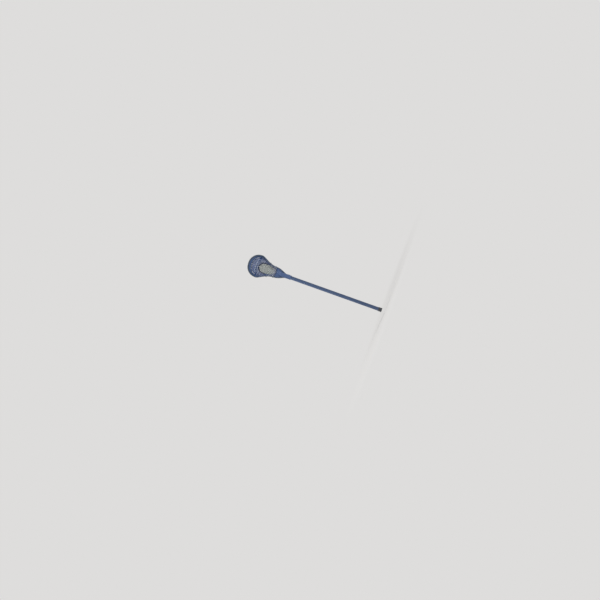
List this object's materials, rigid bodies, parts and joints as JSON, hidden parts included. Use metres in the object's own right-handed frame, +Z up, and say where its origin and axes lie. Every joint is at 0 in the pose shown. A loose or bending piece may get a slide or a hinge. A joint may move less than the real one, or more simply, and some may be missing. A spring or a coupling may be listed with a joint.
{
  "type": "lacrosse stick",
  "caption": "Field lacrosse stick: a scooped plastic head with a laced mesh pocket, clamped by a screw on a hollow octagonal shaft with a rubber butt cap.",
  "frame": {"origin": "centre of the butt cap's end face", "axes": "+Z up the shaft to the scoop's tip, -Y out of the catching face, +Y out of the back of the pocket, +X to the right as the catching face is looked at"},
  "size_m": [0.168, 0.0821, 1.025],
  "materials": {
    "head_plastic": "moulded nylon, royal blue, satin gloss",
    "stop_foam": "closed-cell foam, near black",
    "screw_steel": "zinc-plated",
    "shaft_alloy": "satin navy anodised",
    "cap_rubber": "matte black rubber",
    "mesh_cord": "knotless cord mesh, cream in the middle and blue-grey at the sides",
    "lacing_cord": "braided nylon cord, pale blue-grey",
    "shooting_lace": "flat woven lace, pale blue-grey"
  },
  "bodies": {
    "stick": {"head_frame": "head_plastic", "ball_stop_pad": "stop_foam", "shaft": "shaft_alloy", "mesh_pocket": "mesh_cord", "top_string": "lacing_cord", "left_sidewall_string": "lacing_cord", "right_sidewall_string": "lacing_cord", "bottom_string": "lacing_cord", "upper_shooting_string": "shooting_lace", "lower_shooting_string": "shooting_lace", "u_shooting_string": "shooting_lace"},
    "butt_cap": {"butt_cap": "cap_rubber"},
    "head_screw": {"head_screw": "screw_steel"}
  },
  "joints": [
    {"name": "butt_cap_slide", "type": "slide", "parent": "stick", "child": "butt_cap", "axis": [0, 0, -1], "range_m": [0, 0.024]},
    {"name": "head_screw_slide", "type": "slide", "parent": "stick", "child": "head_screw", "axis": [1, 0, 0], "range_m": [0, 0.018]}
  ]
}
